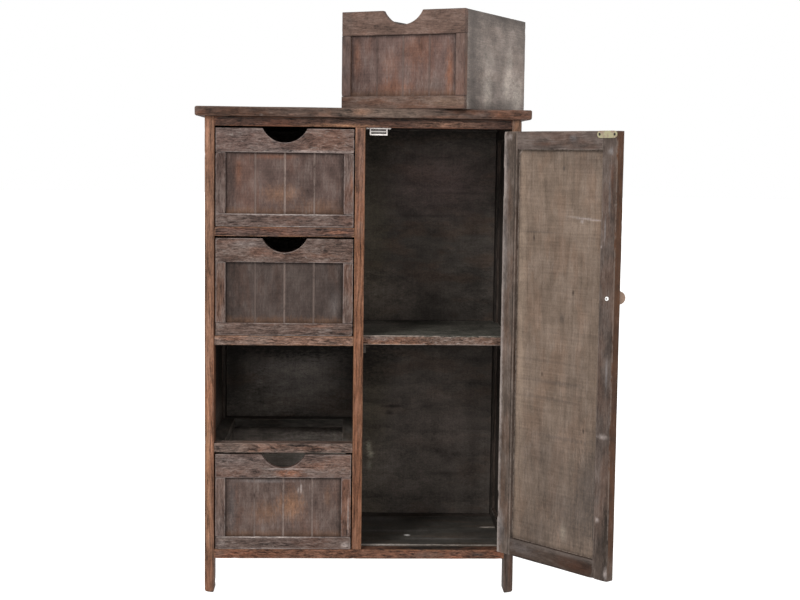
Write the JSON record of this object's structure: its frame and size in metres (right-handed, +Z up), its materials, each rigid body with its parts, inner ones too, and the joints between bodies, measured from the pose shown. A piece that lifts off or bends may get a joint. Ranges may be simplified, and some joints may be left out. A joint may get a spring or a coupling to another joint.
{
  "type": "bonnetiere cabinet",
  "caption": "Small free-standing wooden cabinet on legs: a column of framed drawers with scooped grips beside a tall hinged door with a shelf behind it.",
  "frame": {"origin": "on the floor under the middle of the four legs", "axes": "+X to the right as one faces the cabinet, +Y to its back, +Z up"},
  "size_m": [0.735, 0.5461, 1.0503],
  "materials": {
    "frame_wood": "stained, washed and worn, satin",
    "top_wood": "stained, washed and worn, satin",
    "front_wood": "stained with a grey wash, matte",
    "panel_wood": "stained with a grey wash, matte",
    "door_panel_wood": "grey-washed, matte",
    "plywood": "stained plywood, matte",
    "knob_wood": "lightly stained, satin",
    "brass": "dull",
    "steel": "zinc plated",
    "catch_plastic": "off-white"
  },
  "bodies": {
    "carcass": {"top_board": "top_wood", "leg_front_left": "frame_wood", "leg_front_right": "frame_wood", "leg_rear_left": "frame_wood", "leg_rear_right": "frame_wood", "middle_stile_front": "frame_wood", "middle_stile_rear": "frame_wood", "top_rail_front": "frame_wood", "top_rail_rear": "frame_wood", "bottom_rail_front": "frame_wood", "bottom_rail_rear": "frame_wood", "side_rails_left": "frame_wood", "side_rails_right": "frame_wood", "shelf": "frame_wood", "shelf_cleats": "frame_wood", "drawer_rail_1": "frame_wood", "drawer_rail_2": "frame_wood", "drawer_rail_3": "frame_wood", "rear_drawer_rails": "frame_wood", "drawer_runners_1": "frame_wood", "drawer_runners_2": "frame_wood", "drawer_runners_3": "frame_wood", "side_panel_left": "plywood", "side_panel_right": "plywood", "divider_panel": "plywood", "back_panel": "plywood", "bottom_board": "plywood", "catch_body": "catch_plastic", "magnet_parts": "steel", "catch_screws": "steel", "hinge_screws_leg": "steel", "hinge_pins": "steel", "hinge_leaves_leg": "brass"},
    "door": {"door_stile_hinge": "front_wood", "door_stile_lock": "front_wood", "door_rail_top": "front_wood", "door_rail_bottom": "front_wood", "door_panel": "door_panel_wood", "door_knob": "knob_wood", "knob_screw": "steel", "strike_plate": "brass", "strike_screws": "steel", "hinge_leaves_door": "brass", "hinge_screws_door": "steel"},
    "drawer_1": {"drawer_1_grip_rail": "front_wood", "drawer_1_front_frame": "front_wood", "drawer_1_front_panel": "panel_wood", "drawer_1_box": "plywood"},
    "drawer_2": {"drawer_2_grip_rail": "front_wood", "drawer_2_front_frame": "front_wood", "drawer_2_front_panel": "panel_wood", "drawer_2_box": "plywood"},
    "drawer_3": {"drawer_3_grip_rail": "front_wood", "drawer_3_front_frame": "front_wood", "drawer_3_front_panel": "panel_wood", "drawer_3_box": "plywood"},
    "drawer_4": {"drawer_4_grip_rail": "front_wood", "drawer_4_front_frame": "front_wood", "drawer_4_front_panel": "panel_wood", "drawer_4_box": "plywood"}
  },
  "joints": [
    {"name": "door_hinge", "type": "hinge", "parent": "carcass", "child": "door", "pos_m": [0.2622, -0.1469, 0.4604], "axis": [0, 0, 1], "range_deg": [-130.1, 44.9]},
    {"name": "drawer_1_slide", "type": "slide", "parent": "carcass", "child": "drawer_1", "axis": [0, -1, 0], "range_m": [0, 0.22]},
    {"name": "drawer_2_slide", "type": "slide", "parent": "carcass", "child": "drawer_2", "axis": [0, -1, 0], "range_m": [0, 0.22]},
    {"name": "drawer_4_slide", "type": "slide", "parent": "carcass", "child": "drawer_4", "axis": [0, -1, 0], "range_m": [0, 0.22]},
    {"name": "drawer_3_lift", "type": "slide", "parent": "carcass", "child": "drawer_3", "axis": [0, 0, 1], "range_m": [0, 0.15]}
  ]
}
